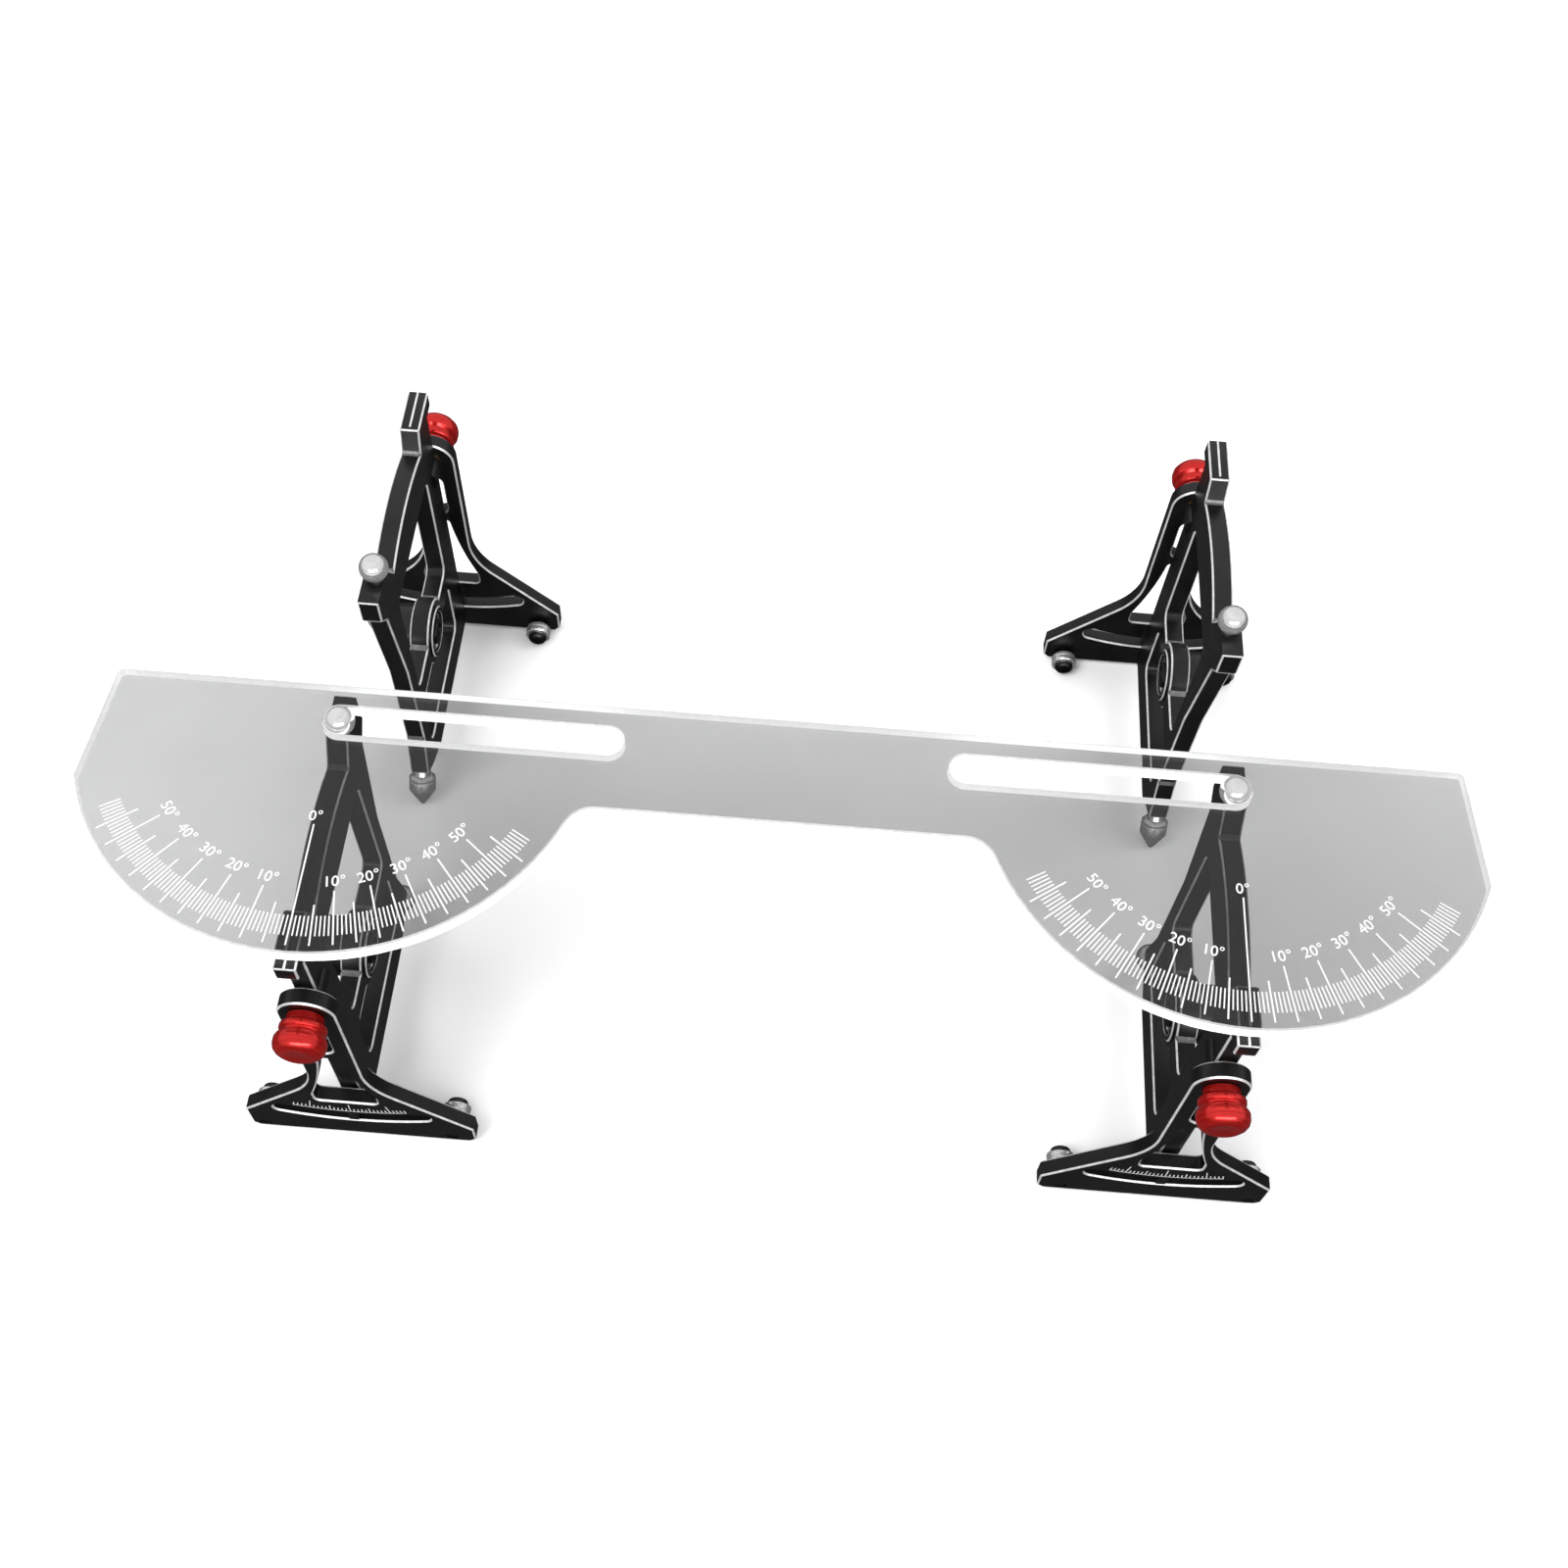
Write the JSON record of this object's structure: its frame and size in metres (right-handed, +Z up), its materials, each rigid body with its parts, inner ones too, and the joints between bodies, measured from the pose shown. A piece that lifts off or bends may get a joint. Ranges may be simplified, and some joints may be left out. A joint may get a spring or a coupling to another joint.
{
  "type": "camber caster gauge",
  "caption": "Wheel alignment gauge set for model cars: standing side plates with hanging camber gauges, and a clear toe gauge with a dial at each end.",
  "frame": {"origin": "on the floor under the middle of the set's bounding box", "axes": "+X along the toe gauge, +Y from the front stands to the rear stands, +Z up; the dial's readings are read from above"},
  "size_m": [0.3086, 0.1868, 0.1029],
  "materials": {
    "clear_acrylic": "clear, laser cut with polished edges",
    "black_anodised": "black anodised with bright machined edges",
    "red_anodised": "red anodised, turned",
    "steel": "ground",
    "bearing_steel": "polished",
    "bronze": "sintered",
    "screw_black": "black oxide"
  },
  "bodies": {
    "toe_gauge": {"toe_gauge": "clear_acrylic"},
    "front_left_toe_pin": {"front_left_toe_pin": "steel"},
    "front_left_upright": {"front_left_upright": "black_anodised", "front_left_foot": "steel", "front_left_bearing_housing": "black_anodised", "front_left_hub_bearings": "bearing_steel", "front_left_pivot_stud": "steel"},
    "front_left_camber_gauge": {"front_left_camber_gauge": "black_anodised", "front_left_pivot_bush": "bronze", "front_left_roller_screws": "screw_black"},
    "front_left_lock_knob": {"front_left_lock_knob": "red_anodised"},
    "front_left_axle_adapter": {"front_left_axle_adapter": "black_anodised"},
    "front_left_roller_inner": {"front_left_roller_inner": "steel"},
    "front_left_roller_outer": {"front_left_roller_outer": "steel"},
    "front_right_toe_pin": {"front_right_toe_pin": "steel"},
    "front_right_upright": {"front_right_upright": "black_anodised", "front_right_foot": "steel", "front_right_bearing_housing": "black_anodised", "front_right_hub_bearings": "bearing_steel", "front_right_pivot_stud": "steel"},
    "front_right_camber_gauge": {"front_right_camber_gauge": "black_anodised", "front_right_pivot_bush": "bronze", "front_right_roller_screws": "screw_black"},
    "front_right_lock_knob": {"front_right_lock_knob": "red_anodised"},
    "front_right_axle_adapter": {"front_right_axle_adapter": "black_anodised"},
    "front_right_roller_inner": {"front_right_roller_inner": "steel"},
    "front_right_roller_outer": {"front_right_roller_outer": "steel"},
    "rear_left_upright": {"rear_left_upright": "black_anodised", "rear_left_foot": "steel", "rear_left_bearing_housing": "black_anodised", "rear_left_hub_bearings": "bearing_steel", "rear_left_pivot_stud": "steel", "rear_left_toe_pin": "steel"},
    "rear_left_camber_gauge": {"rear_left_camber_gauge": "black_anodised", "rear_left_pivot_bush": "bronze", "rear_left_roller_screws": "screw_black"},
    "rear_left_lock_knob": {"rear_left_lock_knob": "red_anodised"},
    "rear_left_axle_adapter": {"rear_left_axle_adapter": "black_anodised"},
    "rear_left_roller_inner": {"rear_left_roller_inner": "steel"},
    "rear_left_roller_outer": {"rear_left_roller_outer": "steel"},
    "rear_right_upright": {"rear_right_upright": "black_anodised", "rear_right_foot": "steel", "rear_right_bearing_housing": "black_anodised", "rear_right_hub_bearings": "bearing_steel", "rear_right_pivot_stud": "steel", "rear_right_toe_pin": "steel"},
    "rear_right_camber_gauge": {"rear_right_camber_gauge": "black_anodised", "rear_right_pivot_bush": "bronze", "rear_right_roller_screws": "screw_black"},
    "rear_right_lock_knob": {"rear_right_lock_knob": "red_anodised"},
    "rear_right_axle_adapter": {"rear_right_axle_adapter": "black_anodised"},
    "rear_right_roller_inner": {"rear_right_roller_inner": "steel"},
    "rear_right_roller_outer": {"rear_right_roller_outer": "steel"}
  },
  "joints": [
    {"name": "front_left_pin_slide", "type": "slide", "parent": "toe_gauge", "child": "front_left_toe_pin", "axis": [1, 0, 0], "range_m": [0, 0.06]},
    {"name": "front_left_toe_swing", "type": "hinge", "parent": "front_left_toe_pin", "child": "front_left_upright", "pos_m": [-0.1, -0.0237, 0.09], "axis": [0, 0, -1], "range_deg": [-50, 50]},
    {"name": "front_left_camber_tilt", "type": "hinge", "parent": "front_left_upright", "child": "front_left_camber_gauge", "pos_m": [-0.1, -0.0817, 0.073], "axis": [0, 1, 0], "range_deg": [-15, 15]},
    {"name": "front_left_lock_knob_turn", "type": "hinge", "parent": "front_left_upright", "child": "front_left_lock_knob", "pos_m": [-0.1, -0.0887, 0.073], "axis": [0, 1, 0], "continuous": true},
    {"name": "front_left_axle_turn", "type": "hinge", "parent": "front_left_upright", "child": "front_left_axle_adapter", "pos_m": [-0.1039, -0.0502, 0.038], "axis": [1, 0, 0], "continuous": true},
    {"name": "front_left_roller_inner_turn", "type": "hinge", "parent": "front_left_camber_gauge", "child": "front_left_roller_inner", "pos_m": [-0.0765, -0.077, 0.0035], "axis": [0, 1, 0], "continuous": true},
    {"name": "front_left_roller_outer_turn", "type": "hinge", "parent": "front_left_camber_gauge", "child": "front_left_roller_outer", "pos_m": [-0.1235, -0.077, 0.0035], "axis": [0, 1, 0], "continuous": true},
    {"name": "front_right_pin_slide", "type": "slide", "parent": "toe_gauge", "child": "front_right_toe_pin", "axis": [-1, 0, 0], "range_m": [0, 0.06]},
    {"name": "front_right_toe_swing", "type": "hinge", "parent": "front_right_toe_pin", "child": "front_right_upright", "pos_m": [0.1, -0.0237, 0.09], "axis": [0, 0, 1], "range_deg": [-50, 50]},
    {"name": "front_right_camber_tilt", "type": "hinge", "parent": "front_right_upright", "child": "front_right_camber_gauge", "pos_m": [0.1, -0.0817, 0.073], "axis": [0, 1, 0], "range_deg": [-15, 15]},
    {"name": "front_right_lock_knob_turn", "type": "hinge", "parent": "front_right_upright", "child": "front_right_lock_knob", "pos_m": [0.1, -0.0887, 0.073], "axis": [0, 1, 0], "continuous": true},
    {"name": "front_right_axle_turn", "type": "hinge", "parent": "front_right_upright", "child": "front_right_axle_adapter", "pos_m": [0.1039, -0.0502, 0.038], "axis": [1, 0, 0], "continuous": true},
    {"name": "front_right_roller_inner_turn", "type": "hinge", "parent": "front_right_camber_gauge", "child": "front_right_roller_inner", "pos_m": [0.0765, -0.077, 0.0035], "axis": [0, 1, 0], "continuous": true},
    {"name": "front_right_roller_outer_turn", "type": "hinge", "parent": "front_right_camber_gauge", "child": "front_right_roller_outer", "pos_m": [0.1235, -0.077, 0.0035], "axis": [0, 1, 0], "continuous": true},
    {"name": "rear_left_stand_slide", "type": "slide", "parent": "toe_gauge", "child": "rear_left_camber_gauge", "axis": [0, 1, 0], "range_m": [0, 0.2]},
    {"name": "rear_left_camber_tilt", "type": "hinge", "parent": "rear_left_camber_gauge", "child": "rear_left_upright", "pos_m": [-0.1005, 0.0774, 0.073], "axis": [0, 1, 0], "range_deg": [-15, 15]},
    {"name": "rear_left_lock_knob_turn", "type": "hinge", "parent": "rear_left_upright", "child": "rear_left_lock_knob", "pos_m": [-0.1005, 0.0844, 0.073], "axis": [0, 1, 0], "continuous": true},
    {"name": "rear_left_axle_turn", "type": "hinge", "parent": "rear_left_upright", "child": "rear_left_axle_adapter", "pos_m": [-0.1044, 0.0459, 0.038], "axis": [1, 0, 0], "continuous": true},
    {"name": "rear_left_roller_inner_turn", "type": "hinge", "parent": "rear_left_camber_gauge", "child": "rear_left_roller_inner", "pos_m": [-0.077, 0.0727, 0.0035], "axis": [0, 1, 0], "continuous": true},
    {"name": "rear_left_roller_outer_turn", "type": "hinge", "parent": "rear_left_camber_gauge", "child": "rear_left_roller_outer", "pos_m": [-0.124, 0.0727, 0.0035], "axis": [0, 1, 0], "continuous": true},
    {"name": "rear_right_stand_slide", "type": "slide", "parent": "toe_gauge", "child": "rear_right_camber_gauge", "axis": [0, 1, 0], "range_m": [0, 0.2]},
    {"name": "rear_right_camber_tilt", "type": "hinge", "parent": "rear_right_camber_gauge", "child": "rear_right_upright", "pos_m": [0.1022, 0.0817, 0.073], "axis": [0, 1, 0], "range_deg": [-15, 15]},
    {"name": "rear_right_lock_knob_turn", "type": "hinge", "parent": "rear_right_upright", "child": "rear_right_lock_knob", "pos_m": [0.1022, 0.0887, 0.073], "axis": [0, 1, 0], "continuous": true},
    {"name": "rear_right_axle_turn", "type": "hinge", "parent": "rear_right_upright", "child": "rear_right_axle_adapter", "pos_m": [0.1061, 0.0502, 0.038], "axis": [1, 0, 0], "continuous": true},
    {"name": "rear_right_roller_inner_turn", "type": "hinge", "parent": "rear_right_camber_gauge", "child": "rear_right_roller_inner", "pos_m": [0.0787, 0.077, 0.0035], "axis": [0, 1, 0], "continuous": true},
    {"name": "rear_right_roller_outer_turn", "type": "hinge", "parent": "rear_right_camber_gauge", "child": "rear_right_roller_outer", "pos_m": [0.1257, 0.077, 0.0035], "axis": [0, 1, 0], "continuous": true}
  ]
}
